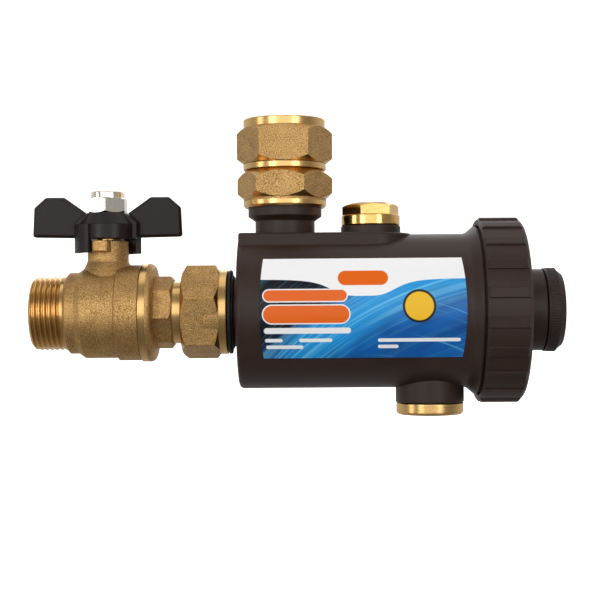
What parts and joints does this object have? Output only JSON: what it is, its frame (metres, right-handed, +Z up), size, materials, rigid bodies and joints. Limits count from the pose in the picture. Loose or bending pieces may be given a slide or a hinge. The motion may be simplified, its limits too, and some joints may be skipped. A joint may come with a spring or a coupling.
{
  "type": "magnetic system filter",
  "caption": "Inline magnetic heating filter: black canister with ball valve and union inlet, swivel union outlet, vent and drain plugs, ring nut and pull-out magnet.",
  "frame": {"origin": "middle of the inlet pipe thread, on the main axis", "axes": "+X along the main axis from the inlet thread to the magnet knob, +Z up along the outlet, the label faces -Y"},
  "size_m": [0.19, 0.0664, 0.1063],
  "materials": {
    "forged_brass": "sand-blasted forging",
    "machined_brass": "turned bright",
    "polished_brass": "polished",
    "polished_ball": "polished plating",
    "nickel_plate": "bright nickel",
    "spring_steel": "satin",
    "stainless_tube": "drawn tube",
    "stainless_mesh": "woven wire",
    "pole_steel": "ground",
    "magnet_plate": "nickel plated",
    "canister_nylon": "satin moulded",
    "cage_plastic": "moulded",
    "handle_paint": "semi-gloss black",
    "seat_plastic": "smooth white",
    "insert_nylon": "moulded",
    "seal_rubber": "moulded",
    "label_film": "printed film"
  },
  "bodies": {
    "filter_body": {"valve_body": "forged_brass", "valve_end_piece": "forged_brass", "ball_seats": "seat_plastic", "union_retainer": "spring_steel", "union_gasket": "seal_rubber", "inlet_backing_ring": "seal_rubber", "canister": "canister_nylon", "label": "label_film", "outlet_nipple": "machined_brass", "outlet_retainers": "spring_steel", "outlet_lower_gasket": "seal_rubber", "outlet_upper_gasket": "seal_rubber"},
    "handle": {"valve_handle": "handle_paint", "handle_nut": "nickel_plate", "handle_nut_insert": "insert_nylon", "valve_stem": "machined_brass", "stem_o_rings": "seal_rubber", "stem_washer": "seat_plastic", "valve_ball": "polished_ball"},
    "union_nut": {"union_nut": "forged_brass"},
    "lower_nut": {"outlet_lower_nut": "forged_brass"},
    "upper_nut": {"outlet_upper_nut": "forged_brass"},
    "cover": {"end_cover": "canister_nylon", "cover_o_ring": "seal_rubber", "magnet_sheath": "stainless_tube", "filter_screen": "stainless_mesh", "filter_cage": "cage_plastic"},
    "ring_nut": {"ring_nut": "canister_nylon"},
    "magnet_seal": {"knob_o_ring": "seal_rubber"},
    "magnet_core": {"magnet_knob": "canister_nylon", "magnet_tie_rod": "stainless_tube", "magnets": "magnet_plate", "pole_plates": "pole_steel"},
    "vent_seal": {"vent_o_ring": "seal_rubber"},
    "vent": {"vent_plug": "polished_brass"},
    "drain_seal": {"drain_o_ring": "seal_rubber"},
    "drain": {"drain_plug": "machined_brass"}
  },
  "joints": [
    {"name": "handle_turn", "type": "hinge", "parent": "filter_body", "child": "handle", "pos_m": [0.0206, 0, 0.026], "axis": [0, 0, 1], "range_deg": [-90, 0]},
    {"name": "union_nut_turn", "type": "hinge", "parent": "filter_body", "child": "union_nut", "pos_m": [0.055, 0, 0], "axis": [1, 0, 0], "continuous": true},
    {"name": "lower_nut_turn", "type": "hinge", "parent": "filter_body", "child": "lower_nut", "pos_m": [0.0846, 0, 0.044], "axis": [0, 0, 1], "continuous": true},
    {"name": "upper_nut_turn", "type": "hinge", "parent": "filter_body", "child": "upper_nut", "pos_m": [0.0846, 0, 0.06], "axis": [0, 0, 1], "continuous": true},
    {"name": "cover_pull", "type": "slide", "parent": "filter_body", "child": "cover", "axis": [1, 0, 0], "range_m": [0, 0.095]},
    {"name": "ring_nut_turn", "type": "hinge", "parent": "cover", "child": "ring_nut", "pos_m": [0.16, 0, 0], "axis": [1, 0, 0], "continuous": true},
    {"name": "magnet_pull", "type": "slide", "parent": "cover", "child": "magnet_seal", "axis": [1, 0, 0], "range_m": [0, 0.1]},
    {"name": "magnet_turn", "type": "hinge", "parent": "magnet_seal", "child": "magnet_core", "pos_m": [0.18, 0, 0], "axis": [1, 0, 0], "continuous": true},
    {"name": "vent_lift", "type": "slide", "parent": "filter_body", "child": "vent_seal", "axis": [0, 0, 1], "range_m": [0, 0.0075]},
    {"name": "vent_turn", "type": "hinge", "parent": "vent_seal", "child": "vent", "pos_m": [0.1155, 0, 0.032], "axis": [0, 0, 1], "range_deg": [0, 2019.5]},
    {"name": "drain_lift", "type": "slide", "parent": "filter_body", "child": "drain_seal", "axis": [0, 0, -1], "range_m": [0, 0.0075]},
    {"name": "drain_turn", "type": "hinge", "parent": "drain_seal", "child": "drain", "pos_m": [0.1364, 0, -0.0345], "axis": [0, 0, -1], "range_deg": [0, 1488.5]}
  ],
  "couplings": [
    {"joint": "vent_turn", "follows": "vent_lift", "rad_per_m": 4699.5},
    {"joint": "drain_turn", "follows": "drain_lift", "rad_per_m": 3463.7}
  ]
}
